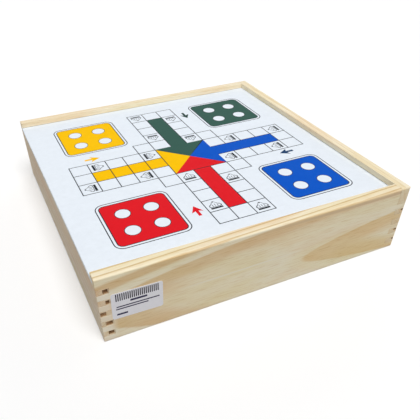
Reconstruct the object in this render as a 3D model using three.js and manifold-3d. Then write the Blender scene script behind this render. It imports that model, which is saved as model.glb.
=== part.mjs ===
// Wooden games compendium: a finger-jointed pine box whose lid slides in grooves and carries a
// printed game board, with dividers and the pieces of three games inside. Millimetres, +Z up.
// The lid slides out towards -X. The origin is on the table, under the middle of the box.

import * as THREE from 'three';
import { mergeVertices } from 'three/addons/utils/BufferGeometryUtils.js';
import { RoundedBoxGeometry } from 'three/addons/geometries/RoundedBoxGeometry.js';
import Module from 'manifold-3d';

const wasm = await Module();
wasm.setup();

// Box
const boxLength = 300;
const boxDepth = 306;
const boxHeight = 68;
const wallThickness = 10;
const topEdgeRadius = 2;
const edgeRadius = 0.8;
const cutOverrun = 1;
const arcSteps = 3;

// Finger joints: odd fingers belong to the end walls, and so does the right wall's top
const fingerCount = 12;
const rightTopFinger = 9;
const jointGap = 0.25;

// Lid and the grooves that guide it
const lidThickness = 3;
const printThickness = 0.3;
const lidRecess = 5.5;
const lidGrooveDepth = 5;
const lidClearance = 0.4;

// Bottom panel, held in grooves of its own
const bottomThickness = 3;
const bottomRecess = 4;
const bottomGrooveDepth = 5;
const bottomClearance = 0.3;

// Dividers, halved over each other
const dividerThickness = 5;
const dividerHeadroom = 9.6;
const dividerClearance = 0.3;
const backCompartmentDepth = 118;

// Paper label on the front wall, placed by its middle
const labelWidth = 43;
const labelHeight = 27;
const labelThickness = 0.15;
const labelRadius = 2;
const labelFromLeft = 31.6;
const labelAboveTable = 34.7;
const labelTurn = THREE.MathUtils.degToRad(1.9);

// Game pieces
const restGap = 0.3;
const pawnRadius = 8;
const pawnHeight = 30;
const pawnSides = 12;
const draughtRadius = 15;
const draughtThickness = 8;
const draughtRecess = 1.5;
const draughtRim = 3;
const draughtSides = 18;
const dominoLength = 46;
const dominoWidth = 23;
const dominoThickness = 5.5;
const dominoSeam = 0.5;
const dominoTiles = 28;
const dominoStacks = 4;
const dieSize = 15;
const dieRadius = 2;
const dieTurn = THREE.MathUtils.degToRad(14);

// Heights and inner faces that the pieces share
const fingerHeight = boxHeight / fingerCount;
const insideX = boxLength / 2 - wallThickness;
const insideY = boxDepth / 2 - wallThickness;
const lidTop = boxHeight - lidRecess;
const panelTop = lidTop - printThickness;
const panelBottom = panelTop - lidThickness;
const lidBottom = panelBottom - printThickness;
const grooveTop = lidTop + lidClearance;
const grooveBottom = lidBottom - lidClearance;
const floorTop = bottomRecess + bottomThickness;
const dividerBottom = floorTop + dividerClearance;
const dividerTop = lidBottom - dividerHeadroom;
const dividerHeight = dividerTop - dividerBottom;
const dividerY = insideY - backCompartmentDepth - dividerThickness / 2;
const pieceFloor = floorTop + restGap;

// Compartments, between the walls and the crossed dividers
const leftSpan = [-insideX, -dividerThickness / 2];
const rightSpan = [dividerThickness / 2, insideX];
const frontSpan = [-insideY, dividerY - dividerThickness / 2];
const backSpan = [dividerY + dividerThickness / 2, insideY];

const pine = { color: '#d3bd93', roughness: 0.62, metalness: 0 };
const palePine = { color: '#e3d2a8', roughness: 0.62, metalness: 0 };
const board = { color: '#e8f0f8', roughness: 0.32, metalness: 0 };
const fibreboard = { color: '#b99468', roughness: 0.8, metalness: 0 };
const paper = { color: '#e4e2ee', roughness: 0.5, metalness: 0 };
const lightWood = { color: '#dcbf8a', roughness: 0.5, metalness: 0 };
const darkWood = { color: '#3c2a20', roughness: 0.45, metalness: 0 };
const ivory = { color: '#efe9da', roughness: 0.35, metalness: 0 };
const pawnColours = { yellow: '#f6b800', green: '#2f5a49', red: '#dd1f2c', blue: '#0d4fc4' };

// A closed geometry as a solid that can be joined and cut
function solidFrom(geometry) {
  const bare = geometry.clone();
  bare.deleteAttribute('normal');
  bare.deleteAttribute('uv');
  const welded = mergeVertices(bare);
  const vertProperties = welded.attributes.position.array;
  const triVerts = welded.index.array;
  return new wasm.Manifold(new wasm.Mesh({ numProp: 3, vertProperties, triVerts }));
}

// A solid back as a three.js geometry
function geometryFrom(solid) {
  const mesh = solid.getMesh();
  const geometry = new THREE.BufferGeometry();
  geometry.setAttribute('position', new THREE.BufferAttribute(mesh.vertProperties, 3));
  geometry.setIndex(new THREE.BufferAttribute(mesh.triVerts, 1));
  geometry.computeVertexNormals();
  return geometry;
}

// A block between two limits on each axis
function blockGeometry([x0, x1], [y0, y1], [z0, z1]) {
  const geometry = new THREE.BoxGeometry(Math.abs(x1 - x0), Math.abs(y1 - y0), Math.abs(z1 - z0));
  return geometry.translate((x0 + x1) / 2, (y0 + y1) / 2, (z0 + z1) / 2);
}

function block(x, y, z) {
  return solidFrom(blockGeometry(x, y, z));
}

// A rectangle standing on its base line, with its own radius on the low and the high corners
function roundedOutline(width, height, lowRadius, highRadius) {
  const right = width / 2;
  const quarter = Math.PI / 2;
  const outline = new THREE.Shape();
  outline.moveTo(lowRadius - right, 0);
  outline.absarc(right - lowRadius, lowRadius, lowRadius, -quarter, 0);
  outline.absarc(right - highRadius, height - highRadius, highRadius, 0, quarter);
  outline.absarc(highRadius - right, height - highRadius, highRadius, quarter, 2 * quarter);
  outline.absarc(lowRadius - right, lowRadius, lowRadius, 2 * quarter, 3 * quarter);
  return outline;
}

// An outline drawn in a plane, extruded about the origin along the third axis
function extruded(outline, length, across, up, along) {
  const geometry = new THREE.ExtrudeGeometry(outline, {
    depth: length,
    bevelEnabled: false,
    curveSegments: arcSteps,
  });
  geometry.translate(0, 0, -length / 2);
  return geometry.applyMatrix4(new THREE.Matrix4().makeBasis(across, up, along));
}

const axisX = new THREE.Vector3(1, 0, 0);
const axisY = new THREE.Vector3(0, 1, 0);
const axisZ = new THREE.Vector3(0, 0, 1);

// The whole box with its eased edges: every wall is trimmed to it
function easedEnvelope() {
  const sideOutline = roundedOutline(boxDepth, boxHeight, edgeRadius, topEdgeRadius);
  const frontOutline = roundedOutline(boxLength, boxHeight, edgeRadius, edgeRadius);
  const planOutline = roundedOutline(boxLength, boxDepth, edgeRadius, edgeRadius);
  const alongX = solidFrom(extruded(sideOutline, boxLength, axisY, axisZ, axisX));
  const alongY = solidFrom(extruded(frontOutline, boxDepth, axisX, axisZ, axisY.clone().negate()));
  const plan = extruded(planOutline, boxHeight, axisX, axisY, axisZ);
  const alongZ = solidFrom(plan.translate(0, -boxDepth / 2, boxHeight / 2));
  return alongX.intersect(alongY).intersect(alongZ);
}

const envelope = easedEnvelope();

// The space that the lid slides in, open at the left end
const lidSpace = block(
  [-boxLength / 2 - cutOverrun, insideX + lidGrooveDepth],
  [-insideY - lidGrooveDepth, insideY + lidGrooveDepth],
  [grooveBottom, grooveTop],
);

// The space that the bottom panel sits in
const bottomSpace = block(
  [-insideX - bottomGrooveDepth, insideX + bottomGrooveDepth],
  [-insideY - bottomGrooveDepth, insideY + bottomGrooveDepth],
  [bottomRecess - bottomClearance, floorTop + bottomClearance],
);

// The height that a wall gives up for another wall's finger, or for several in a row
function fingerSlot(first, last = first) {
  const low = first === 0 ? -cutOverrun : first * fingerHeight - jointGap / 2;
  const high = last === fingerCount - 1 ? boxHeight + cutOverrun : (last + 1) * fingerHeight + jointGap / 2;
  return [low, high];
}

function fingersFrom(first, beyond) {
  const slots = [];
  for (let finger = first; finger < beyond; finger += 2) slots.push(fingerSlot(finger));
  return slots;
}

// Front wall (side -1) or back wall (side 1), the full length of the box
function longWall(side) {
  const outer = side * (boxDepth / 2);
  const beyond = outer + side * cutOverrun;
  const within = side * (insideY - cutOverrun);
  const end = boxLength / 2;
  let wall = block([-end, end], [outer, side * insideY], [0, boxHeight]);
  for (const slot of fingersFrom(1, fingerCount - 2)) {
    wall = wall.subtract(block([-end - cutOverrun, -insideX + jointGap], [beyond, within], slot));
  }
  const rightSlots = fingersFrom(1, rightTopFinger);
  rightSlots.push(fingerSlot(rightTopFinger, fingerCount - 1));
  for (const slot of rightSlots) {
    wall = wall.subtract(block([insideX - jointGap, end + cutOverrun], [beyond, within], slot));
  }
  return wall.subtract(lidSpace).subtract(bottomSpace).intersect(envelope);
}

// Small pockets where the cutter tore the end grain of a finger. Each row: finger, then shares of
// the wall's thickness from the outer face, shares of the finger's height, and depth as a share of
// the wall's thickness at its inner and outer side
const leftPocketShares = [
  [1, 0.46, 0.94, 0.22, 0.92, 0.44, 0.36],
  [3, 0.3, 0.94, 0.1, 0.88, 0.32, 0],
  [5, 0.06, 0.54, 0.12, 0.85, 0.06, 0.22],
  [7, 0.62, 0.94, 0.12, 0.84, 0.3, 0.2],
  [9, 0.52, 0.94, 0.1, 0.88, 0.34, 0.26],
];
const rightPocketShares = [
  [1, 0.08, 0.3, 0.5, 0.9, 0.12, 0.2],
  [3, 0.08, 0.42, 0.5, 0.9, 0.05, 0.2],
  [7, 0.08, 0.34, 0.5, 0.9, 0.14, 0.24],
];

// One pocket: a wedge sunk into the end of an end wall, wall -1 left or 1 right, side -1 front
function tornPocket(wall, side, shares) {
  const [finger, nearShare, farShare, lowShare, highShare, innerDepthShare, outerDepthShare] = shares;
  const near = boxLength / 2 - nearShare * wallThickness;
  const far = boxLength / 2 - farShare * wallThickness;
  const face = boxDepth / 2;
  const wedge = new THREE.Shape();
  wedge.moveTo(wall * near, side * (face + cutOverrun));
  wedge.lineTo(wall * far, side * (face + cutOverrun));
  wedge.lineTo(wall * far, side * (face - innerDepthShare * wallThickness));
  wedge.lineTo(wall * near, side * (face - outerDepthShare * wallThickness));
  const height = (highShare - lowShare) * fingerHeight;
  const geometry = extruded(wedge, height, axisX, axisY, axisZ);
  const middle = (finger + (lowShare + highShare) / 2) * fingerHeight;
  return solidFrom(geometry.translate(0, 0, middle));
}

// Left wall (wall -1), which ends under the lid, or right wall (wall 1), the full height
function endWall(wall) {
  const top = wall < 0 ? grooveBottom : boxHeight;
  const outer = wall * (boxLength / 2);
  const beyond = outer + wall * cutOverrun;
  const within = wall * (insideX - cutOverrun);
  const end = boxDepth / 2;
  let body = block([outer, wall * insideX], [-end, end], [0, top]);
  const slots = fingersFrom(0, rightTopFinger);
  if (wall < 0) slots.push(fingerSlot(rightTopFinger + 1, fingerCount - 1));
  const pocketShares = wall < 0 ? leftPocketShares : rightPocketShares;
  for (const side of [-1, 1]) {
    for (const slot of slots) {
      const reach = [side * (insideY - jointGap), side * (end + cutOverrun)];
      body = body.subtract(block([beyond, within], reach, slot));
    }
    for (const shares of pocketShares) body = body.subtract(tornPocket(wall, side, shares));
  }
  return body.subtract(lidSpace).subtract(bottomSpace).intersect(envelope);
}

function bottomPanel() {
  const reachX = insideX + bottomGrooveDepth - bottomClearance;
  const reachY = insideY + bottomGrooveDepth - bottomClearance;
  return blockGeometry([-reachX, reachX], [-reachY, reachY], [bottomRecess, floorTop]);
}

// One layer of the lid: the panel, or the printed sheet on either face of it
function lidLayer(low, high) {
  const reachY = insideY + lidGrooveDepth - lidClearance;
  const right = insideX + lidGrooveDepth - lidClearance;
  return blockGeometry([-boxLength / 2, right], [-reachY, reachY], [low, high]);
}

// The divider along X is notched from above, and the one along Y from below
function longDivider() {
  const reach = insideX - dividerClearance;
  const low = dividerY - dividerThickness / 2;
  const high = dividerY + dividerThickness / 2;
  const body = block([-reach, reach], [low, high], [dividerBottom, dividerTop]);
  const notch = dividerThickness / 2 + dividerClearance;
  const seat = dividerBottom + dividerHeight / 2 - dividerClearance / 2;
  const slot = block(
    [-notch, notch],
    [low - cutOverrun, high + cutOverrun],
    [seat, dividerTop + cutOverrun],
  );
  return body.subtract(slot);
}

function crossDivider() {
  const reach = insideY - dividerClearance;
  const half = dividerThickness / 2;
  const body = block([-half, half], [-reach, reach], [dividerBottom, dividerTop]);
  const notch = dividerThickness / 2 + dividerClearance;
  const seat = dividerBottom + dividerHeight / 2 + dividerClearance / 2;
  const slot = block(
    [-half - cutOverrun, half + cutOverrun],
    [dividerY - notch, dividerY + notch],
    [dividerBottom - cutOverrun, seat],
  );
  return body.subtract(slot);
}

function label() {
  const outline = roundedOutline(labelWidth, labelHeight, labelRadius, labelRadius);
  const geometry = new THREE.ExtrudeGeometry(outline, {
    depth: labelThickness,
    bevelEnabled: false,
    curveSegments: arcSteps,
  });
  geometry.translate(0, -labelHeight / 2, 0);
  geometry.rotateZ(-labelTurn);
  geometry.applyMatrix4(new THREE.Matrix4().makeBasis(axisX, axisZ, axisY.clone().negate()));
  return geometry.translate(labelFromLeft - boxLength / 2, -boxDepth / 2, labelAboveTable);
}

// A turned piece standing on its base: rows of radius share and height share, from the base up
function turned(radius, height, shares, sides) {
  const points = shares.map(([out, up]) => new THREE.Vector2(out * radius, up * height));
  return new THREE.LatheGeometry(points, sides).rotateX(Math.PI / 2);
}

const pawnShares = [
  [0, 0],
  [1, 0],
  [1, 0.1],
  [0.78, 0.16],
  [0.42, 0.4],
  [0.32, 0.6],
  [0.58, 0.63],
  [0.34, 0.67],
  [0.6, 0.74],
  [0.66, 0.83],
  [0.48, 0.95],
  [0, 1],
];

function draught() {
  const rim = draughtRadius - draughtRim;
  const dish = draughtThickness - draughtRecess;
  const profile = [
    [0, 0],
    [draughtRadius, 0],
    [draughtRadius, draughtThickness],
    [rim, draughtThickness],
    [rim - draughtRecess, dish],
    [0, dish],
  ];
  const points = profile.map(([out, up]) => new THREE.Vector2(out, up));
  return new THREE.LatheGeometry(points, draughtSides).rotateX(Math.PI / 2);
}

// A stack of tiles lying flat, joined by a core that sits back from their edges
function dominoStack() {
  const halfLength = dominoLength / 2;
  const halfWidth = dominoWidth / 2;
  const pitch = dominoThickness + dominoSeam;
  const fitting = Math.floor((lidBottom - pieceFloor) / pitch);
  const tiles = Math.min(dominoTiles / dominoStacks, fitting);
  const top = tiles * pitch - dominoSeam;
  let stack = block(
    [dominoSeam - halfLength, halfLength - dominoSeam],
    [dominoSeam - halfWidth, halfWidth - dominoSeam],
    [dominoSeam, top - dominoSeam],
  );
  for (let tile = 0; tile < tiles; tile += 1) {
    const low = tile * pitch;
    const slab = block([-halfLength, halfLength], [-halfWidth, halfWidth], [low, low + dominoThickness]);
    stack = stack.add(slab);
  }
  return stack;
}

const compendium = new THREE.Group();
const lid = new THREE.Group();
compendium.add(lid);

function addPiece(parent, name, geometry, finish, place = [0, 0, 0], turn = 0) {
  const material = new THREE.MeshStandardMaterial({ ...finish, flatShading: true });
  const mesh = new THREE.Mesh(geometry, material);
  mesh.name = name;
  mesh.position.set(...place);
  mesh.rotation.z = turn;
  parent.add(mesh);
}

// The middles of equal cells that fill a compartment, all at one height
function cellPlaces(columns, rows, [left, right], [front, back], height) {
  const places = [];
  for (let row = 0; row < rows; row += 1) {
    for (let column = 0; column < columns; column += 1) {
      const x = left + ((column + 0.5) / columns) * (right - left);
      const y = front + ((row + 0.5) / rows) * (back - front);
      places.push([x, y, height]);
    }
  }
  return places;
}

// Box
addPiece(compendium, 'front_wall', geometryFrom(longWall(-1)), pine);
addPiece(compendium, 'back_wall', geometryFrom(longWall(1)), pine);
addPiece(compendium, 'left_wall', geometryFrom(endWall(-1)), pine);
addPiece(compendium, 'right_wall', geometryFrom(endWall(1)), pine);
addPiece(compendium, 'bottom_panel', bottomPanel(), fibreboard);
addPiece(compendium, 'divider_long', geometryFrom(longDivider()), palePine);
addPiece(compendium, 'divider_cross', geometryFrom(crossDivider()), palePine);
addPiece(compendium, 'paper_label', label(), paper);

// Lid
addPiece(lid, 'lid_panel', lidLayer(panelBottom, panelTop), board);
addPiece(lid, 'ludo_board_print', lidLayer(panelTop, lidTop), board);
addPiece(lid, 'draughts_board_print', lidLayer(lidBottom, panelBottom), board);

// Draughts: six stacks of two in each back compartment
const draughtSets = [
  ['light', leftSpan, lightWood],
  ['dark', rightSpan, darkWood],
];
for (const [tone, span, finish] of draughtSets) {
  const lower = cellPlaces(3, 2, span, backSpan, pieceFloor);
  const upper = cellPlaces(3, 2, span, backSpan, pieceFloor + draughtThickness + restGap);
  [...lower, ...upper].forEach((place, index) => {
    const number = String(index + 1).padStart(2, '0');
    addPiece(compendium, `draught_${tone}_${number}`, draught(), finish, place);
  });
}

// Dominoes: stacks in the front left compartment
const stackPlaces = cellPlaces(2, dominoStacks / 2, leftSpan, frontSpan, pieceFloor);
stackPlaces.forEach((place, index) => {
  addPiece(compendium, `domino_stack_${index + 1}`, geometryFrom(dominoStack()), ivory, place);
});

// Pawns and dice: four rows of pawns in the front right compartment, and the dice in a fifth
const rows = cellPlaces(4, 5, rightSpan, frontSpan, pieceFloor);
Object.entries(pawnColours).forEach(([name, color], row) => {
  for (let column = 0; column < 4; column += 1) {
    const finish = { color, roughness: 0.3, metalness: 0 };
    const shape = turned(pawnRadius, pawnHeight, pawnShares, pawnSides);
    addPiece(compendium, `pawn_${name}_${column + 1}`, shape, finish, rows[row * 4 + column]);
  }
});
rows.slice(-3, -1).forEach(([x, y, z], index) => {
  const shape = new RoundedBoxGeometry(dieSize, dieSize, dieSize, 1, dieRadius);
  const place = [x, y, z + dieSize / 2];
  addPiece(compendium, `die_${index + 1}`, shape, ivory, place, (1 - 3 * index) * dieTurn);
});

export default compendium;
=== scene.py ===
from math import asin, cos, degrees, pi, radians, sin, tan
import random

import bmesh
import bpy
from mathutils import Matrix, Vector
from mathutils.geometry import delaunay_2d_cdt


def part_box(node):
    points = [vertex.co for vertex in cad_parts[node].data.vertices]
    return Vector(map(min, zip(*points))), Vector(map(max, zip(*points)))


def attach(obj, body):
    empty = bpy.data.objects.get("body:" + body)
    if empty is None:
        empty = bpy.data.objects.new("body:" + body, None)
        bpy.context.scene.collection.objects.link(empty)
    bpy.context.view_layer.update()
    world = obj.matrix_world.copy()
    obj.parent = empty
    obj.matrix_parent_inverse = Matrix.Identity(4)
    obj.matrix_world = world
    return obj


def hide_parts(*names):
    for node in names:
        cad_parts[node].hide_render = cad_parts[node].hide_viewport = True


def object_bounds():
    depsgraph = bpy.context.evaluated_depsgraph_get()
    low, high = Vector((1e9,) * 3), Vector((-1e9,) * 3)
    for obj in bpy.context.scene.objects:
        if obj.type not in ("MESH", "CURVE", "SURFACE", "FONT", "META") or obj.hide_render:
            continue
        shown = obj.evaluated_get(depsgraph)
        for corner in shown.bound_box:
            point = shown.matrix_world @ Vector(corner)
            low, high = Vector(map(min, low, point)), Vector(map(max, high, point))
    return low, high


# A pine games box with a printed Ludo lid: finishes, fine pieces, light and camera.
# X runs along the front wall, Y to the back and Z up.
# Sizes here are in millimetres and the model is in metres.
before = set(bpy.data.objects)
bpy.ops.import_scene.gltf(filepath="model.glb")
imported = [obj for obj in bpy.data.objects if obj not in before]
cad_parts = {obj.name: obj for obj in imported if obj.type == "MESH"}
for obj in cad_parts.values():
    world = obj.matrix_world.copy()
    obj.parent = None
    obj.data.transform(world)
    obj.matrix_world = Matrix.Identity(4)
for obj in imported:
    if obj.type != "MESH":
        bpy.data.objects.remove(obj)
cadLow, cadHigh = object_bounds()
scene = bpy.context.scene
mm = 0.001
perMetre = 1000
print("frame loaded:", len(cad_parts), "nodes")


# Small helpers

def linearOf(hexText):
    # sRGB hex to the linear colour that the nodes take
    parts = [int(hexText[i:i + 2], 16) / 255 for i in (1, 3, 5)]
    return [p / 12.92 if p <= 0.04045 else ((p + 0.055) / 1.055) ** 2.4 for p in parts] + [1]


def addNode(tree, kind, inputs=None, stops=None, **settings):
    # inputs: socket name or number -> a value, a hex colour, a socket or a node; stops: a ramp's colours
    node = tree.nodes.new("ShaderNode" + kind)
    for name, value in settings.items():
        setattr(node, name, value)
    for name, value in (inputs or {}).items():
        socket = node.inputs[name]
        if isinstance(value, bpy.types.Node):
            tree.links.new(value.outputs[0], socket)
        elif isinstance(value, bpy.types.NodeSocket):
            tree.links.new(value, socket)
        elif isinstance(value, str):
            socket.default_value = linearOf(value)
        else:
            socket.default_value = value
    if stops:
        ramp = node.color_ramp.elements
        while len(ramp) < len(stops):
            ramp.new(1)
        for element, (place, colour) in zip(ramp, stops):
            element.position = place
            element.color = linearOf(colour)
    return node


# Sockets of the Mix node when it mixes colours, and of the Map Range node
mixShare, mixFirst, mixSecond, mixResult = 0, 6, 7, 2
fromLow, fromHigh, toLow, toHigh = 1, 2, 3, 4


def startFinish(name, ior, roughness):
    finish = bpy.data.materials.new(name)
    finish.use_nodes = True
    tree = finish.node_tree
    shader = tree.nodes["Principled BSDF"]
    shader.inputs["IOR"].default_value = ior
    shader.inputs["Roughness"].default_value = roughness
    return finish, tree, shader


def millimetres(tree, turn=0):
    # object coordinates in millimetres, turned about Z so that a board's grain runs along X
    where = addNode(tree, "TexCoord")
    return addNode(tree, "Mapping", {
        "Vector": where.outputs["Object"], "Rotation": (0, 0, turn), "Scale": (perMetre,) * 3})


def pattern(tree, spot, pitch, detail=2, roughness=0.5):
    # noise whose cells are about pitch millimetres long, wide and high
    scaled = addNode(tree, "Mapping", {"Vector": spot, "Scale": [1 / p for p in pitch]})
    return addNode(tree, "TexNoise", {
        "Vector": scaled, "Scale": 1, "Detail": detail, "Roughness": roughness})


def shaded(tree, colour, level, tones, share=1):
    # the colour darkened by the tones that a level picks
    tone = addNode(tree, "ValToRGB", {0: level}, stops=tones)
    return addNode(tree, "Mix", {mixShare: share, mixFirst: colour, mixSecond: tone},
                   data_type="RGBA", blend_type="MULTIPLY").outputs[mixResult]


def addBump(tree, shader, height, depth, strength=1):
    # depth is the height of the relief in millimetres
    bump = addNode(tree, "Bump", {"Strength": strength, "Distance": depth * mm, "Height": height})
    tree.links.new(bump.outputs["Normal"], shader.inputs["Normal"])


# Pine

pine = {
    "wanderPitch": (170, 40, 40),
    "bandReach": 110,              # ring distance where a board's bands end
    "ringSpacing": 7.5,
    "ringTones": [(0, "#FFFFFF"), (0.45, "#FDFAF3"), (0.8, "#F6EAD4"), (0.9, "#F0DCBD"), (1, "#FFFFFF")],
    # fibres, resin flecks and the slow change of tone along a board
    "layers": {
        "fibre": {"pitch": (18, 1.0, 1.0), "detail": 3, "coarseness": 0.6, "share": 0.9,
                  "tones": [(0.32, "#F2E8D8"), (0.5, "#FEFDFA"), (0.7, "#FFFFFF")]},
        "fleck": {"pitch": (16, 0.7, 0.7), "detail": 1, "coarseness": 0.5, "share": 0.5,
                  "tones": [(0.0, "#FFFFFF"), (0.68, "#FFFFFF"), (0.75, "#DFC8A2")]},
        "mottle": {"pitch": (120, 22, 22), "detail": 2, "coarseness": 0.5, "share": 0.7,
                   "tones": [(0.35, "#FBF1E6"), (0.5, "#FFFFFF"), (0.66, "#FAF7E8")]},
    },
    "fibreSpan": (0.3, 0.7),       # from hollow to crest
    "fibreRoughness": (0.66, 0.5),
    "fibreDepth": 0.08,
    "fibreRelief": 0.5,
    "topFacing": (0.55, 0.9),      # how far up a face looks where the painted top light and the top edge's lines begin and are full
    # painted light: the paler tone that faces looking up take, and how much of it
    "topLightTone": "#F1E7CF",
    "topLightShare": 0.85,
    "lineTones": [(0, "#FFFFFF"), (0.3, "#FDFAF3"), (0.43, "#E2D0B0"), (0.55, "#DCC8A4"), (0.66, "#FFFFFF")],
    "endFacing": (0.6, 0.85),
    "porePitch": (0.6, 0.6, 0.6),
    # painted shade in the joints' small pockets, on their torn end grain
    "pocketShade": [(0.35, "#836042"), (0.65, "#BC966C")],
    "pocketShadeSunk": (0.1, 0.6),        # below the outer face, where the painted pocket shade begins and is full
    "pocketShadeMargin": 0.2,
}

# a heart that runs level, with rings of even width
straight = {"climb": 0, "bend": 0, "taper": 0, "start": 0}

# One entry per board. turn: degrees about Z that lay the grain along X.
# Its rings lie round the tree's heart, which leans away from the face by slope, meets it at apex and lies
# offset behind it. heart: its height above the floor, how that climbs and bends along the board, and how
# fast the rings narrow. rings and waver: how strong the ring lines are and how far they stray.
# bands: the wood's tone by ring distance. edge: the top edge's lines.
# ends: what end grain takes off the colour, in its pores and beside them.
# tongue: a second, inner set of rings inside its rim.
# seams: lines and patches of another tone, by height and by place along the board.
pineBoards = {
    "front_wall": {
        "turn": 0, "side": 1, "offset": 153, "rings": 0.1, "waver": 2.5,
        "heart": {"slope": 0.09, "apex": 316, "height": 21.8, "climb": -0.05, "bend": -0.6,
                  "taper": 0.059, "start": 0},
        "edge": {"pitch": 6, "lean": -0.037, "shift": 147.5, "share": 0.9},
        "ends": [(0.35, "#E9DAC5"), (0.6, "#F9F1E5")],
        "bands": [(0.0, "#FBF1D2"), (0.218, "#FBF1D2"), (0.238, "#FDF5DD"), (0.31, "#FCF1D3"),
                  (0.366, "#FBEFD0"), (0.388, "#F8EAC9"), (0.402, "#F4E1BF"), (0.416, "#EFD7AF"),
                  (0.47, "#EBD1A6"), (0.478, "#FDF4DB"), (0.508, "#FBF1D5"), (0.522, "#EBD0A5"),
                  (0.556, "#E8CB9E"), (0.57, "#FBF1D3"), (1.0, "#F9EECF")],
        "tongue": {"slope": 0.05, "apex": 320, "height": 20.4, "climb": 0, "bend": 1,
                   "taper": 0.096, "start": 12},
        "tongueRim": (21.8, 22.6),
        "tongueBands": [(0.0, "#FBF1D5"), (0.08, "#FBF1D5"), (0.12, "#F3DDB2"), (0.2, "#F0D7A7")],
        "seams": [
            {"heights": (62.5, 63.8, 65.2, 66.2), "along": (-20, 50, 150, 160),
             "share": 1, "tone": "#DDC19A"},
            {"heights": (30.8, 31.5, 32.1, 32.8), "along": (-90, -50, 10, 38),
             "share": 1, "tone": "#FCF3DD"},
            {"heights": (-3, -2, 52, 56), "along": (-156, -155, -142, -136),
             "share": 0.65, "tone": "#FFF6E4"},
        ],
    },
    "back_wall": {
        "turn": 0, "side": -1, "offset": 190, "rings": 0.4, "waver": 5,
        "heart": {"slope": 0.03, "apex": 60, "height": 92, **straight},
        "edge": {"pitch": 5.2, "lean": -0.015, "shift": 3, "share": 0.35},
        "ends": [(0.35, "#E9DAC5"), (0.6, "#F9F1E5")],
        "bands": [(0.0, "#F9EDCE"), (0.5, "#FBF1D8"), (0.75, "#F6E7C4"), (1.0, "#FAEED1")],
    },
    "left_wall": {
        "turn": -90, "side": 1, "offset": -104, "rings": 0.4, "waver": 5,
        "heart": {"slope": -0.05, "apex": 40, "height": -18, **straight},
        "edge": {"pitch": 6, "lean": 0.02, "shift": 1, "share": 0.5},
        "ends": [(0.35, "#F7EFE2"), (0.6, "#FFFEFB")],
        # painted shade: these bands are darker and greyer than the other boards' bands
        "bands": [(0.0, "#F2E2CB"), (0.4, "#F4E7D4"), (0.7, "#EFDABE"), (1.0, "#F2E3CE")],
    },
    "right_wall": {
        "turn": -90, "side": 1, "offset": 196, "rings": 0.4, "waver": 5,
        "heart": {"slope": 0.02, "apex": -30, "height": 84, **straight},
        "edge": {"pitch": 5.6, "lean": 0.01, "shift": 2.5, "share": 0.35},
        "ends": [(0.35, "#F2E9DC"), (0.6, "#FDF9F3")],
        "bands": [(0.0, "#F7ECD2"), (0.5, "#F9F0D9"), (0.8, "#F4E7CA"), (1.0, "#F7ECD3")],
    },
}


def ringDistance(tree, spot, board, heart):
    # distance from the heart, and the same less what the rings narrow along the board
    lean = addNode(tree, "VectorMath", {0: spot, 1: (-heart["slope"], board["side"], 0)},
                   operation="DOT_PRODUCT")
    away = addNode(tree, "Math", {
        0: lean.outputs["Value"], 1: heart["slope"] * heart["apex"] + board["offset"]}, operation="ADD")
    split = addNode(tree, "SeparateXYZ", {0: spot})
    along = split.outputs["X"]
    # bend: how far the heart's line leaves its straight run after 100 mm
    climb = addNode(tree, "Math", {0: along, 1: heart["bend"] / 100 ** 2, 2: heart["climb"]},
                    operation="MULTIPLY_ADD")
    height = addNode(tree, "Math", {0: along, 1: climb, 2: heart["height"]}, operation="MULTIPLY_ADD")
    rise = addNode(tree, "Math", {0: split.outputs["Z"], 1: height}, operation="SUBTRACT")
    across = addNode(tree, "CombineXYZ", {"X": away, "Y": rise})
    radius = addNode(tree, "VectorMath", {0: across}, operation="LENGTH").outputs["Value"]
    narrowed = addNode(tree, "Math", {0: along, 1: -heart["taper"], 2: radius}, operation="MULTIPLY_ADD")
    return radius, addNode(tree, "Math", {0: narrowed, 1: heart["start"]}, operation="ADD")


def bandTones(tree, distance, bands):
    reach = addNode(tree, "Math", {0: distance, 1: pine["bandReach"]}, operation="DIVIDE")
    return addNode(tree, "ValToRGB", {0: reach}, stops=bands)


def bandedWood(tree, spot, board):
    # the tone of the wood by its distance from the heart, and that distance
    radius, narrowed = ringDistance(tree, spot, board, board["heart"])
    wood = bandTones(tree, narrowed, board["bands"])
    if "tongue" in board:
        _, inner = ringDistance(tree, spot, board, board["tongue"])
        full, none = board["tongueRim"]
        within = addNode(tree, "MapRange", {0: inner, fromLow: full, fromHigh: none, toLow: 1, toHigh: 0})
        wood = addNode(tree, "Mix", {
            mixShare: within, mixFirst: wood, mixSecond: bandTones(tree, inner, board["tongueBands"])},
            data_type="RGBA").outputs[mixResult]
    return radius, wood


def softSpan(tree, value, span):
    # 0 up to the first number, 1 from the second to the third and 0 again from the last
    low, full, end, high = span
    rising = addNode(tree, "MapRange", {0: value, fromLow: low, fromHigh: full})
    falling = addNode(tree, "MapRange", {0: value, fromLow: high, fromHigh: end})
    return addNode(tree, "Math", {0: rising, 1: falling}, operation="MULTIPLY")


def edgeLines(tree, spot, edge):
    # place within one late-wood line, from 0 to 1, of lines that run slightly askew along a top edge
    level = addNode(tree, "VectorMath", {0: spot, 1: (edge["lean"], 1, 0)}, operation="DOT_PRODUCT")
    level = addNode(tree, "Math", {0: level.outputs["Value"], 1: edge["shift"]}, operation="ADD")
    level = addNode(tree, "Math", {0: level, 1: edge["pitch"]}, operation="DIVIDE")
    return addNode(tree, "Math", {0: level}, operation="FRACT")


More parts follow.
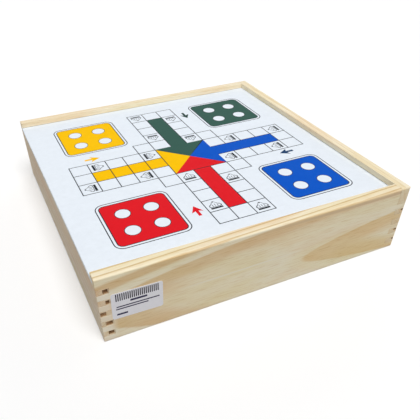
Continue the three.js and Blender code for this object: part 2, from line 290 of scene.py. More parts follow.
def pocketShadeShare(tree, board):
    # 1 inside the small pockets of the joints, which lie sunk in both outer faces, where shade is painted
    fromMiddle = addNode(tree, "VectorMath", {0: millimetres(tree)}, operation="ABSOLUTE")
    inside = addNode(tree, "VectorMath", {0: cadHigh / mm, 1: fromMiddle}, operation="SUBTRACT")
    split = addNode(tree, "SeparateXYZ", {0: inside})
    sides = {0: split.outputs["X"], 1: split.outputs["Y"]}
    nearer = addNode(tree, "Math", sides, operation="MINIMUM")
    farther = addNode(tree, "Math", sides, operation="MAXIMUM")
    begins, full = pine["pocketShadeSunk"]
    sunk = addNode(tree, "MapRange", {0: nearer, fromLow: begins, fromHigh: full})
    joint = addNode(tree, "Math", {0: farther, 1: board["wall"] - pine["pocketShadeMargin"]},
                    operation="LESS_THAN")
    below = addNode(tree, "Math", {0: split.outputs["Z"], 1: board["wall"]}, operation="GREATER_THAN")
    pocketShade = addNode(tree, "Math", {0: sunk, 1: joint}, operation="MULTIPLY")
    return addNode(tree, "Math", {0: pocketShade, 1: below}, operation="MULTIPLY")


def pineFinish(name, board):
    # planed and sanded pine, no varnish: long pale fibres, soft ring lines, dull and a little rough
    finish, tree, shader = startFinish("sanded_pine_" + name, ior=1.5, roughness=0.55)
    turn = radians(board["turn"])
    spot = millimetres(tree, turn)
    wander = pattern(tree, spot, pine["wanderPitch"], detail=1)
    # noise lies round a half
    shift = addNode(tree, "VectorMath", {0: wander.outputs["Color"], 1: (0.5, 0.5, 0.5)},
                    operation="SUBTRACT")
    shift = addNode(tree, "VectorMath", {0: shift, "Scale": board["waver"]}, operation="SCALE")
    bent = addNode(tree, "VectorMath", {0: spot, 1: shift}, operation="ADD")
    radius, wood = bandedWood(tree, bent, board)

    # painted light: faces that look up are mixed towards a paler tone, as if lit from above
    surface = addNode(tree, "TexCoord").outputs["Normal"]
    upward = addNode(tree, "SeparateXYZ", {0: surface}).outputs["Z"]
    begins, full = pine["topFacing"]
    paintedTopLight = addNode(tree, "MapRange", {
        0: upward, fromLow: begins, fromHigh: full, toHigh: pine["topLightShare"]})
    wood = addNode(tree, "Mix", {mixShare: paintedTopLight, mixFirst: wood, mixSecond: pine["topLightTone"]},
                   data_type="RGBA").outputs[mixResult]

    # ring lines, then fibres, flecks and mottle
    years = addNode(tree, "Math", {0: radius, 1: pine["ringSpacing"]}, operation="DIVIDE")
    year = addNode(tree, "Math", {0: years}, operation="FRACT")
    wood = shaded(tree, wood, year, pine["ringTones"], board["rings"])
    grain = {}
    for layerName, layer in pine["layers"].items():
        grain[layerName] = pattern(tree, spot, layer["pitch"], layer["detail"], layer["coarseness"])
        wood = shaded(tree, wood, grain[layerName], layer["tones"], layer["share"])
    lined = addNode(tree, "MapRange", {
        0: upward, fromLow: begins, fromHigh: full, toHigh: board["edge"]["share"]})
    wood = shaded(tree, wood, edgeLines(tree, bent, board["edge"]), pine["lineTones"], lined)

    # a darker line under the top edge, and paler lines and patches, that fade out along the board
    place = addNode(tree, "SeparateXYZ", {0: bent})
    for seam in board.get("seams", []):
        share = addNode(tree, "Math", {
            0: softSpan(tree, place.outputs["Z"], seam["heights"]),
            1: softSpan(tree, place.outputs["X"], seam["along"])}, operation="MULTIPLY")
        share = addNode(tree, "Math", {0: share, 1: seam["share"]}, operation="MULTIPLY")
        wood = addNode(tree, "Mix", {mixShare: share, mixFirst: wood, mixSecond: seam["tone"]},
                       data_type="RGBA").outputs[mixResult]

    # end grain drinks more light and shows its pores
    facing = addNode(tree, "VectorMath", {0: surface, 1: (cos(turn), -sin(turn), 0)},
                     operation="DOT_PRODUCT")
    facing = addNode(tree, "Math", {0: facing.outputs["Value"]}, operation="ABSOLUTE")
    begins, full = pine["endFacing"]
    endShare = addNode(tree, "MapRange", {0: facing, fromLow: begins, fromHigh: full})
    pores = pattern(tree, spot, pine["porePitch"], roughness=0.7)
    endWood = shaded(tree, wood, pores, board["ends"])
    wood = addNode(tree, "Mix", {mixShare: endShare, mixFirst: wood, mixSecond: endWood},
                   data_type="RGBA").outputs[mixResult]

    # painted shade inside the small pockets of the joints, over their raw torn end grain
    pocketShadeTone = addNode(tree, "ValToRGB", {0: pores}, stops=pine["pocketShade"])
    wood = addNode(tree, "Mix", {
        mixShare: pocketShadeShare(tree, board), mixFirst: wood, mixSecond: pocketShadeTone}, data_type="RGBA")
    tree.links.new(wood.outputs[mixResult], shader.inputs["Base Color"])
    hollow, crest = pine["fibreSpan"]
    dullest, smoothest = pine["fibreRoughness"]
    dull = addNode(tree, "MapRange", {
        0: grain["fibre"], fromLow: hollow, fromHigh: crest, toLow: dullest, toHigh: smoothest})
    tree.links.new(dull.outputs[0], shader.inputs["Roughness"])
    addBump(tree, shader, grain["fibre"], pine["fibreDepth"], pine["fibreRelief"])
    return finish


# Plain sheets, prints and plywood

printed = {
    "sheen": 0.05,
    "mottlePitch": (5, 5, 5),
    "mottleTones": [(0.3, "#FAFAFA"), (0.7, "#FFFFFF")],
    "toothPitch": (0.9, 0.9, 0.9),
    "toothDepth": 0.01,
}


def printFinish(name, colour, roughness=0.55):
    # offset ink under a matt film: even and flat, with a trace of mottle and hardly any sheen
    finish, tree, shader = startFinish("matt_print_" + name, ior=1.5, roughness=roughness)
    shader.inputs["Specular IOR Level"].default_value = printed["sheen"]
    spot = millimetres(tree)
    mottle = pattern(tree, spot, printed["mottlePitch"], detail=3, roughness=0.6)
    ink = shaded(tree, colour, mottle, printed["mottleTones"])
    tree.links.new(ink, shader.inputs["Base Color"])
    tooth = pattern(tree, spot, printed["toothPitch"])
    addBump(tree, shader, tooth, printed["toothDepth"], strength=0.5)
    return finish


hardboards = {
    "bottom": {"name": "pressed_hardboard", "tones": [(0.3, "#9A774B"), (0.62, "#B89567")],
               "roughness": 0.5, "pitch": (1.6, 1.6, 0.8), "depth": 0.08},
    "lid": {"name": "sprayed_white_hardboard", "tones": [(0.3, "#E6EAEE"), (0.62, "#EFF3F7")],
            "roughness": 0.4, "pitch": (3, 3, 3), "depth": 0.08},
}


def hardboardFinish(board):
    # pressed wood fibre: short matted fibres with darker specks, or the same under sprayed paint
    finish, tree, shader = startFinish(board["name"], ior=1.5, roughness=board["roughness"])
    fibre = pattern(tree, millimetres(tree), board["pitch"], detail=4, roughness=0.65)
    tone = addNode(tree, "ValToRGB", {0: fibre}, stops=board["tones"])
    tree.links.new(tone.outputs[0], shader.inputs["Base Color"])
    addBump(tree, shader, fibre, board["depth"], strength=0.5)
    return finish


ply = {
    "fibrePitch": (45, 0.9, 2.2),
    "fibreTones": [(0.32, "#D3B98C"), (0.66, "#EAD8B2")],
    "corePitch": (0.7, 1.2, 0.7),
    "coreTones": [(0.35, "#A98858"), (0.65, "#CBAE80")],
    "coreShare": (0.24, 0.28),     # of the thickness, where the core ends on each side of the middle
    "fibreDepth": 0.1,
}


def plyFinish(name, turn, middle, thickness):
    # sanded poplar plywood: straight pale veneer, and three plies on the edges
    finish, tree, shader = startFinish("sanded_poplar_ply_" + name, ior=1.5, roughness=0.6)
    spot = millimetres(tree, radians(turn))
    fibre = pattern(tree, spot, ply["fibrePitch"], detail=3, roughness=0.6)
    tone = addNode(tree, "ValToRGB", {0: fibre}, stops=ply["fibreTones"])
    split = addNode(tree, "SeparateXYZ", {0: spot})
    off = addNode(tree, "Math", {0: split.outputs["Y"], 1: middle}, operation="SUBTRACT")
    off = addNode(tree, "Math", {0: off}, operation="ABSOLUTE")
    full, none = (thickness * share for share in ply["coreShare"])
    core = addNode(tree, "MapRange", {0: off, fromLow: full, fromHigh: none, toLow: 1, toHigh: 0})
    pores = pattern(tree, spot, ply["corePitch"], roughness=0.7)
    coreTone = addNode(tree, "ValToRGB", {0: pores}, stops=ply["coreTones"])
    veneer = addNode(tree, "Mix", {mixShare: core, mixFirst: tone, mixSecond: coreTone},
                     data_type="RGBA").outputs[mixResult]
    tree.links.new(veneer, shader.inputs["Base Color"])
    addBump(tree, shader, fibre, ply["fibreDepth"], strength=0.5)
    return finish


# Finishes of the playing pieces

moulded = {
    "flowPitch": (7, 7, 12),
    "flowTones": [(0.3, "#FAFAFA"), (0.7, "#FFFFFF")],
    "flowSpan": (0.3, 0.7),
    "flowDepth": 0.01,
    "wear": (-0.02, 0.05),         # added to the roughness from place to place
}


def plasticFinish(name, colour, roughness=0.24):
    # moulded polystyrene: clean gloss with faint flow marks
    finish, tree, shader = startFinish("moulded_polystyrene_" + name, ior=1.59, roughness=roughness)
    flow = pattern(tree, millimetres(tree), moulded["flowPitch"])
    body = shaded(tree, colour, flow, moulded["flowTones"])
    tree.links.new(body, shader.inputs["Base Color"])
    (begins, full), (least, most) = moulded["flowSpan"], moulded["wear"]
    wear = addNode(tree, "MapRange", {
        0: flow, fromLow: begins, fromHigh: full, toLow: roughness + least, toHigh: roughness + most})
    tree.links.new(wear.outputs[0], shader.inputs["Roughness"])
    addBump(tree, shader, flow, moulded["flowDepth"], strength=0.2)
    return finish


beech = {
    "rayPitch": (3.2, 0.5, 0.6),
    "rayDepth": 0.04,
    "ringScale": 0.12,             # puts the rings about 3 mm apart
    "ringTones": [(0.2, "#E2D2BC"), (0.7, "#FFFFFF")],
    "ringShare": 0.45,
}


def turnedFinish(name, tones):
    # turned beech: short dark rays all over and a thin satin lacquer
    finish, tree, shader = startFinish("turned_beech_" + name, ior=1.5, roughness=0.4)
    spot = millimetres(tree)
    rays = pattern(tree, spot, beech["rayPitch"], roughness=0.6)
    tone = addNode(tree, "ValToRGB", {0: rays}, stops=tones)
    rings = addNode(tree, "TexWave", {
        "Vector": spot, "Scale": beech["ringScale"], "Distortion": 3, "Detail": 2},
        wave_type="BANDS", bands_direction="DIAGONAL")
    wood = shaded(tree, tone, rings, beech["ringTones"], beech["ringShare"])
    tree.links.new(wood, shader.inputs["Base Color"])
    addBump(tree, shader, rays, beech["rayDepth"], strength=0.4)
    return finish


# Meshes

def showPiece(name, bm, finishes, body, nodes, smoothAngle=35):
    # turns a bmesh in metres into a piece that stands for its nodes
    mesh = bpy.data.meshes.new(name)
    bmesh.ops.recalc_face_normals(bm, faces=bm.faces)
    bm.to_mesh(mesh)
    bm.free()
    for finish in finishes:
        mesh.materials.append(finish)
    mesh.polygons.foreach_set("use_smooth", [True] * len(mesh.polygons))
    mesh.set_sharp_from_angle(angle=radians(smoothAngle))
    piece = bpy.data.objects.new(name, mesh)
    scene.collection.objects.link(piece)
    # large flat faces keep their own normal beside the rounded edges
    piece.modifiers.new("flat_faces_first", "WEIGHTED_NORMAL").keep_sharp = True
    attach(piece, body)
    if nodes:
        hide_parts(*nodes)
    return piece


# Angles in degrees and lengths in millimetres
easing = {"edge": 0.2, "lidEdge": 0.25, "shortestEdge": 3, "shortestWallEdge": 9, "sharpAngle": 50,
          "flatAngle": 0.5, "smoothAngle": 16, "weld": 0.001}


def easedCopy(node, edge, finish, body, shortest=easing["shortestEdge"]):
    # the node's own solid with its sharp arrises rubbed down by edge
    bm = bmesh.new()
    bm.from_mesh(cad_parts[node].data)
    bmesh.ops.remove_doubles(bm, verts=bm.verts, dist=easing["weld"] * mm)
    bmesh.ops.dissolve_limit(bm, angle_limit=radians(easing["flatAngle"]),
                             verts=bm.verts, edges=bm.edges)
    sharp = [e for e in bm.edges if len(e.link_faces) == 2 and e.calc_length() > shortest * mm
             and e.calc_face_angle(0) > radians(easing["sharpAngle"])]
    bmesh.ops.bevel(bm, geom=sharp, offset=edge * mm, segments=2, profile=0.5, affect="EDGES",
                    clamp_overlap=False)
    for face in bm.faces:
        face.material_index = 0
    return showPiece(node + "_eased", bm, [finish], body, [node], easing["smoothAngle"])


# Flat figures for prints, as loops of points in millimetres

def rectangle(u, v, width, height):
    return [(u + a * width / 2, v + b * height / 2) for a, b in ((-1, -1), (1, -1), (1, 1), (-1, 1))]


def disc(u, v, radius, steps=32):
    return [(u + radius * cos(2 * pi * k / steps), v + radius * sin(2 * pi * k / steps))
            for k in range(steps)]


def roundedRectangle(u, v, width, height, radius, steps=6):
    loop = []
    for corner, (a, b) in enumerate(((1, 1), (-1, 1), (-1, -1), (1, -1))):
        for k in range(steps + 1):
            angle = pi / 2 * (corner + k / steps)
            loop.append((u + a * (width / 2 - radius) + radius * cos(angle),
                         v + b * (height / 2 - radius) + radius * sin(angle)))
    return loop


def placed(loop, u=0, v=0, turn=0, size=1):
    # a loop scaled, turned by degrees and moved to its place
    c, s = cos(radians(turn)), sin(radians(turn))
    return [(u + size * (x * c - y * s), v + size * (x * s + y * c)) for x, y in loop]


def cutRegions(bm, figures, spot):
    # cuts the plane into regions; a later figure lies over an earlier one. figures: (material number, loop)
    points, loops = [], []
    for _, loop in figures:
        loops.append(list(range(len(points), len(points) + len(loop))))
        points.extend(Vector(p) for p in loop)
    insideOnly, closest = 1, 1e-4
    places, _, faces, _, _, owners = delaunay_2d_cdt(points, [], loops, insideOnly, closest)
    corners = [bm.verts.new(spot @ Vector((p[0] * mm, p[1] * mm, 0))) for p in places]
    made = []
    for corner, owner in zip(faces, owners):
        face = bm.faces.new([corners[i] for i in corner])
        face.material_index = figures[max(owner)][0]
        made.append(face)
    return made


def printedSheet(name, node, figures, spot, thickness, finishes, body):
    # a closed sheet whose printed side is cut into its figures
    bm = bmesh.new()
    cutRegions(bm, figures, spot)
    rim = [e for e in bm.edges if e.is_boundary]
    grown = bmesh.ops.extrude_edge_only(bm, edges=rim)["geom"]
    back = spot.to_3x3() @ Vector((0, 0, -thickness * mm))
    bmesh.ops.translate(bm, verts=[g for g in grown if isinstance(g, bmesh.types.BMVert)], vec=back)
    hem = [g for g in grown if isinstance(g, bmesh.types.BMEdge) and g.is_boundary]
    bmesh.ops.edgeloop_fill(bm, edges=hem)
    for face in [f for f in bm.faces if any(e in hem for e in f.edges)]:
        face.material_index = 0
    return showPiece(name, bm, finishes, body, [node])


def facingPlane(origin, along, up):
    # matrix that lays a flat figure: its u along one way, its v up the other
    out = Vector(along).cross(Vector(up))
    turn = Matrix((along, up, out)).transposed().to_4x4()
    return Matrix.Translation(Vector(origin)) @ turn


def nodeBox(node):
    low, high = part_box(node)
    return low, high, (low + high) / 2


# Boards, panel and bottom

for boardName, board in pineBoards.items():
    low, high, _ = nodeBox(boardName)
    board["wall"] = min(high.xy - low.xy) / mm
    easedCopy(boardName, easing["edge"], pineFinish(boardName, board), "box",
              easing["shortestWallEdge"])

for dividerName, turn in (("divider_long", 0), ("divider_cross", -90)):
    low, high, middle = nodeBox(dividerName)
    # the turned Y coordinate runs through the sheet's thickness
    through = -middle.x if turn else middle.y
    finish = plyFinish(dividerName, turn, through / mm, min((high - low).xy) / mm)
    easedCopy(dividerName, easing["edge"], finish, "box")

easedCopy("bottom_panel", easing["edge"], hardboardFinish(hardboards["bottom"]), "box")
easedCopy("lid_panel", easing["lidEdge"], hardboardFinish(hardboards["lid"]), "lid")
print("boards done")


# Ludo print on the lid

ludo = {
    "cell": 18.67,
    "centre": (-3.0, -1.9),    # of the playing field, which lies a little in front of the lid's middle
    "cells": 13, "armLength": 5, "armWidth": 3,
    "line": 0.95,
    "inks": {"paper": "#EAF1F9", "line": "#23282E", "yellow": "#FCC400", "green": "#33584E", "red": "#E01C26",
             "blue": "#0055C4", "navy": "#123A62", "deep_green": "#26423C"},
    "bases": {"yellow": (-4.45, 4.61), "green": (4.49, 4.51), "red": (-4.53, -4.54), "blue": (4.48, -4.53)},
    "baseHalf": 1.7,
    "baseCorner": 5.5,
    "baseGap": 2.0,            # white between the base and the thin line round it
    "baseLine": 0.9,
    "dotAway": 0.72,
    "dotRadius": 0.363,
    "dotLine": 0.65,
    # row, column and turn of each sign; row, column, turn and ink of each start arrow
    "signs": [(5, 1, 0), (5, 4, 0), (7, 0, 180), (7, 3, 180),
              (0, 5, -90), (3, 5, -90), (1, 7, -90), (4, 7, -90),
              (5, 9, 180), (5, 12, 180), (7, 8, 180), (7, 11, 180),
              (8, 5, 90), (11, 5, 90), (9, 7, 90), (12, 7, 90)],
    "arrows": [(4, 0.95, 0, "yellow"), (0.85, 8, -90, "deep_green"), (7.9, 11.1, 180, "navy"),
               (11.1, 4, 90, "red")],
}
# the sign and the arrow point along +u before they are turned
sign = {
    "hood": [(6.0, 0), (5.2, 1.1), (2.2, 3.1), (0.4, 5.4), (-1.4, 6.3), (-3.3, 5.2)],
    "bar": (-4.9, 0, 2.3, 11.8),
    "frontInset": 0.45,
    "backInset": 0.6,
    "narrowing": 0.86,
    "fold": (-0.7, 3.2, 0.6),      # place, length and width
    "foldStep": 2.4,
    "knob": (4.9, 0, 0.85, 12),
}
arrow = {"tip": 6.2, "neck": -0.2, "barb": -1.6, "head": 4.3, "shaft": 1.15, "tail": -6.2, "scale": 1.3}
inkNames = list(ludo["inks"])
inks = [printFinish(name, colour) for name, colour in ludo["inks"].items()]
paper, line, yellow, green, red, blue = map(
    inkNames.index, ("paper", "line", "yellow", "green", "red", "blue"))

# quarter turns that bring the left arm to the left, top, right and bottom, with each arm's ink
arms = [(0, yellow), (-90, green), (180, blue), (90, red)]


def cellSpot(row, column):
    half = ludo["cells"] // 2
    return (column - half) * ludo["cell"], (half - row) * ludo["cell"]


def signFigures(u, v, turn):
    # a plain crown-like sign: a heavy bar and a pointed hood with three folds, the middle one further on
    hood = sign["hood"] + [(x, -y) for x, y in reversed(sign["hood"][1:])]
    inner = [(x - sign["frontInset"] if x > 0 else x + sign["backInset"], y * sign["narrowing"])
             for x, y in hood]
    figures = [(line, rectangle(*sign["bar"])), (line, hood), (paper, inner)]
    foldAt, length, width = sign["fold"]
    for fold in (-1, 0, 1):
        figures.append((line, rectangle(foldAt * abs(fold), sign["foldStep"] * fold, length, width)))
    figures.append((line, disc(*sign["knob"])))
    return [(ink, placed(loop, u, v, turn)) for ink, loop in figures]


def arrowFigure(u, v, turn, ink):
    # a short arrow with a swept head
    tip, neck, barb, head, shaft, tail = (arrow[k] for k in ("tip", "neck", "barb", "head", "shaft", "tail"))
    loop = [(tip, 0), (barb, head), (neck, shaft), (tail, shaft),
            (tail, -shaft), (neck, -shaft), (barb, -head)]
    return ink, placed(loop, u, v, turn, arrow["scale"])


def baseFigures(ink, place):
    # a coloured base with its four round spots, inside a thin line
    cell, thin = ludo["cell"], ludo["line"]
    u, v = place[0] * cell, place[1] * cell
    side, corner = 2 * ludo["baseHalf"] * cell, ludo["baseCorner"]
    figures = []
    for layerInk, grow in ((line, ludo["baseGap"] + thin), (paper, ludo["baseGap"]), (line, 0),
                           (ink, -ludo["baseLine"])):
        figures.append((layerInk, roundedRectangle(u, v, side + 2 * grow, side + 2 * grow, corner + grow)))
    away, radius = ludo["dotAway"] * cell, ludo["dotRadius"] * cell
    for c in (-1, 1):
        for d in (-1, 1):
            figures.append((line, disc(u + c * away, v + d * away, radius + ludo["dotLine"])))
            figures.append((paper, disc(u + c * away, v + d * away, radius)))
    return figures


def armFigures(turn, ink):
    # the left arm's white squares and home strip, turned to where this arm lies
    cell, thin, length = ludo["cell"], ludo["line"], ludo["armLength"]
    homeRow = ludo["cells"] // 2
    figures = []
    for row in (homeRow - 1, homeRow, homeRow + 1):
        for column in range(length):
            inHome = row == homeRow and column > 0
            if not inHome or ink == yellow:
                square = rectangle(*cellSpot(row, column), cell - thin, cell - thin)
                figures.append((ink if inHome else paper, placed(square, turn=turn)))
    if ink != yellow:
        # home strip without lines across it; green and blue run on into the centre
        bridge = thin if ink in (green, blue) else 0
        strip = rectangle(*cellSpot(homeRow, length / 2), (length - 1) * cell - thin, cell - thin)
        inner = max(u for u, v in strip)
        strip = [(u + bridge if u == inner else u, v) for u, v in strip]
        figures.append((ink, placed(strip, turn=turn)))
    return figures


def ludoFigures(sheet):
    cell, thin = ludo["cell"], ludo["line"]
    length, across = ludo["armLength"], ludo["armWidth"] * cell
    figures = [(paper, sheet)]
    for name, place in ludo["bases"].items():
        figures.extend(baseFigures(inkNames.index(name), place))
    # the track: dark plates with the white squares let in, so that their rims are the lines
    away = (ludo["cells"] - length) / 2 * cell
    for turn, _ in arms:
        plate = rectangle(-away, 0, length * cell + thin, across + thin)
        figures.append((line, placed(plate, turn=turn)))
    figures.append((line, rectangle(0, 0, across + thin, across + thin)))
    # a square in each corner between two arms
    beside = (length - 1, ludo["cells"] - length)
    for row, column in ((r, c) for r in beside for c in beside):
        for ink, grow in ((line, thin), (paper, -thin)):
            figures.append((ink, rectangle(*cellSpot(row, column), cell + grow, cell + grow)))
    for turn, ink in arms:
        figures.extend(armFigures(turn, ink))
    # the centre: four triangles
    for turn, ink in arms:
        reach = across / 2 - (thin / 2 if ink in (yellow, red) else -thin / 2)
        inside = across / 2 - thin / 2
        figures.append((ink, placed([(0, 0), (-reach, inside), (-reach, -inside)], turn=turn)))
    for row, column, turn in ludo["signs"]:
        figures.extend(signFigures(*cellSpot(row, column), turn))
    for row, column, turn, name in ludo["arrows"]:
        figures.append(arrowFigure(*cellSpot(row, column), turn, inkNames.index(name)))
    return figures


low, high, middle = nodeBox("ludo_board_print")
size = (high - low) / mm
centreU, centreV = ludo["centre"]
sheet = rectangle(middle.x / mm - centreU, middle.y / mm - centreV, size.x, size.y)
printedSheet("ludo_board_sheet", "ludo_board_print", ludoFigures(sheet),
             facingPlane((centreU * mm, centreV * mm, high.z), (1, 0, 0), (0, 1, 0)), size.z,
             inks, "lid")
print("Ludo print done")


# Draughts board under the lid

draughtsBoard = {"squares": 8, "square": 30, "rim": 3, "rimLine": 0.8, "dark": "#2B2A2C"}


def draughtsFigures(width, depth):
    count, square, rim, thin = (draughtsBoard[k] for k in ("squares", "square", "rim", "rimLine"))
    figures = [(0, rectangle(0, 0, width, depth))]
    # two thin lines round the squares, as dark and pale layers
    for ink, grow in ((1, rim + thin), (0, rim), (1, thin), (0, 0)):
        figures.append((ink, rectangle(0, 0, *[count * square + 2 * grow] * 2)))
    for row in range(count):
        for column in range(count):
            if (row + column) % 2 == 0:
                u, v = ((k - (count - 1) / 2) * square for k in (column, row))
                figures.append((2, rectangle(u, v, square, square)))
    return figures


low, high, middle = nodeBox("draughts_board_print")
size = (high - low) / mm
darkInk = printFinish("dark_square", draughtsBoard["dark"])
printedSheet("draughts_board_sheet", "draughts_board_print", draughtsFigures(size.x, size.y),
             facingPlane((middle.x, middle.y, low.z), (1, 0, 0), (0, -1, 0)), size.z,
             [inks[paper], inks[line], darkInk], "lid")
print("draughts print done")


# Paper label on the front wall, with even bars and plain lines

label = {
    "width": 43, "height": 27, "corner": 2, "turn": -1.9,
    "inks": {"label_paper": "#FBFAFF", "label_bars": "#2E2A3A", "label_rules": "#4A4660"},
    "bars": 22, "barShare": 0.56, "barZone": (-18.2, 18.2, 4.9, 12.3),
    "rules": [(1, 2.7, 14, 2.0), (0.4, -1.2, 36, 1.2), (-4.6, -3.6, 27, 1.2), (-13.2, -9.2, 9, 1.8)],
}


def labelFigures():
    figures = [(0, roundedRectangle(0, 0, label["width"], label["height"], label["corner"]))]
    left, right, bottom, top = label["barZone"]
    pitch = (right - left) / label["bars"]
    for bar in range(label["bars"]):
        u = left + pitch * (bar + 0.5)
        figures.append((1, rectangle(u, (bottom + top) / 2, pitch * label["barShare"], top - bottom)))
    figures.extend((2, rectangle(*rule)) for rule in label["rules"])
    return [(ink, placed(loop, turn=label["turn"])) for ink, loop in figures]


low, high, middle = nodeBox("paper_label")
labelInks = [printFinish(name, colour, 0.6) for name, colour in label["inks"].items()]
printedSheet("paper_label_sheet", "paper_label", labelFigures(),
             facingPlane((middle.x, low.y, middle.z), (1, 0, 0), (0, 0, 1)), (high.y - low.y) / mm,
             labelInks, "box")
print("label done")


# Turned and moulded playing pieces

def turnedPiece(node, profile, steps, finish):
    # spins a profile of (radius, height) in millimetres round its upright axis; its two ends lie on the axis
    low, _, middle = nodeBox(node)
    foot = Vector((middle.x, middle.y, low.z))
    bm = bmesh.new()
    rings = []
    for radius, height in profile:
        around = disc(0, 0, radius, steps) if radius else [(0, 0)]
        rings.append([bm.verts.new(foot + Vector((x, y, height)) * mm) for x, y in around])
    for lower, upper in zip(rings, rings[1:]):
        for k in range(steps):
            corners = [lower[k % len(lower)], lower[(k + 1) % len(lower)],
                       upper[(k + 1) % len(upper)], upper[k % len(upper)]]
            bm.faces.new(list(dict.fromkeys(corners)))
    return showPiece(node + "_turned", bm, [finish], "box", [node])


def arcPoints(centre, radii, start, end, steps):
    # points of an elliptic arc, from one angle in degrees to another
    angles = [radians(start + (end - start) * k / steps) for k in range(steps + 1)]
    return [(max(0, centre[0] + radii[0] * cos(a)), centre[1] + radii[1] * sin(a)) for a in angles]


pawn = {
    "each": 4, "radius": 7.9, "height": 30, "steps": 32,
    "footHeight": 3, "footEase": 0.5, "footBead": 0.8,
    "shoulderShare": 0.74, "shoulderRise": 0.6, "flare": 1.9, "flareSteps": 8,
    "waistRadius": 2.5, "waistHeight": 18,
    "collarRadius": 4.6, "collarBead": (0.8, 0.7), "collarHalf": 0.9,
    "headRadius": 5.2,
    "colours": {"yellow": "#F2B20A", "green": "#1E7B45", "red": "#D3202B", "blue": "#1450BE"},
}


def pawnProfile():
    foot, waist, head = pawn["footHeight"], pawn["waistRadius"], pawn["headRadius"]
    ease, bead = pawn["footEase"], pawn["footBead"]
    profile = [(0, 0), (pawn["radius"] - ease, 0)]
    profile += arcPoints((pawn["radius"] - ease, ease), (ease, ease), -60, 0, 2)
    profile += arcPoints((pawn["radius"] - bead, foot - bead), (bead, bead), 0, 80, 3)
    # the flare from the shoulder up to the waist
    shoulder, start = pawn["radius"] * pawn["shoulderShare"], foot + pawn["shoulderRise"]
    for k in range(pawn["flareSteps"] + 1):
        t = k / pawn["flareSteps"]
        profile.append((waist + (shoulder - waist) * (1 - t) ** pawn["flare"],
                        start + (pawn["waistHeight"] - start) * t))
    collar = pawn["waistHeight"] + pawn["collarHalf"]
    profile += arcPoints((pawn["collarRadius"] - pawn["collarBead"][0], collar),
                         pawn["collarBead"], -80, 80, 4)
    headHeight = pawn["height"] - head
    neck = degrees(asin((collar + pawn["collarHalf"] - headHeight) / head))
    profile += arcPoints((0, headHeight), (head, head), neck, 89, 11)
    return profile + [(0, pawn["height"])]


for colour, hexText in pawn["colours"].items():
    plastic = plasticFinish(colour, hexText)
    for count in range(1, pawn["each"] + 1):
        turnedPiece(f"pawn_{colour}_{count}", pawnProfile(), pawn["steps"], plastic)

draught = {
    "each": 12, "radius": 15, "thickness": 8, "steps": 48,
    "rim": 3, "rimSlope": 0.8, "rimEase": 0.5, "edgeEase": 0.7, "grooveDepth": 0.35,
    "recess": 1.5, "bead": 7.5, "beadHalf": 1.1, "beadFoot": 0.3, "beadHeight": 0.7,
    "light": [(0.34, "#D6B07A"), (0.6, "#E3C08D")],
    "dark": [(0.34, "#3A271D"), (0.6, "#4A3222")],
}


def draughtSide():
    # half of the profile, from the middle of a face out to the rim's edge
    radius, rim, recess, bead = (draught[k] for k in ("radius", "rim", "recess", "bead"))
    half, ease, edge = (draught[k] for k in ("beadHalf", "rimEase", "edgeEase"))
    side = [(0, recess), (bead - half - draught["beadFoot"], recess)]
    side += [(r, recess - draught["beadHeight"] * (h - recess))
             for r, h in arcPoints((bead, recess), (half, 1), 180, 0, 6)]
    side += [(radius - rim - draught["rimSlope"], recess), (radius - rim, ease), (radius - rim + ease, 0),
             (radius - edge, 0)]
    return side + arcPoints((radius - edge, edge), (edge, edge), -60, 0, 3)


def draughtProfile():
    side = draughtSide()
    groove = [(draught["radius"] - draught["grooveDepth"], draught["thickness"] / 2)]
    return side + groove + [(r, draught["thickness"] - h) for r, h in reversed(side)]


for tone in ("light", "dark"):
    wood = turnedFinish(tone, draught[tone])
    for count in range(1, draught["each"] + 1):
        turnedPiece(f"draught_{tone}_{count:02d}", draughtProfile(), draught["steps"], wood)
print("pawns and draughts done")


# Dominoes and dice: blocks with rounded edges and sunk pips

pipLayouts = {
    0: [], 1: [(0, 0)], 2: [(-1, 1), (1, -1)], 3: [(-1, 1), (0, 0), (1, -1)],
    4: [(-1, 1), (1, 1), (-1, -1), (1, -1)], 5: [(-1, 1), (1, 1), (0, 0), (-1, -1), (1, -1)],
    6: [(-1, 1), (0, 1), (1, 1), (-1, -1), (0, -1), (1, -1)],
}


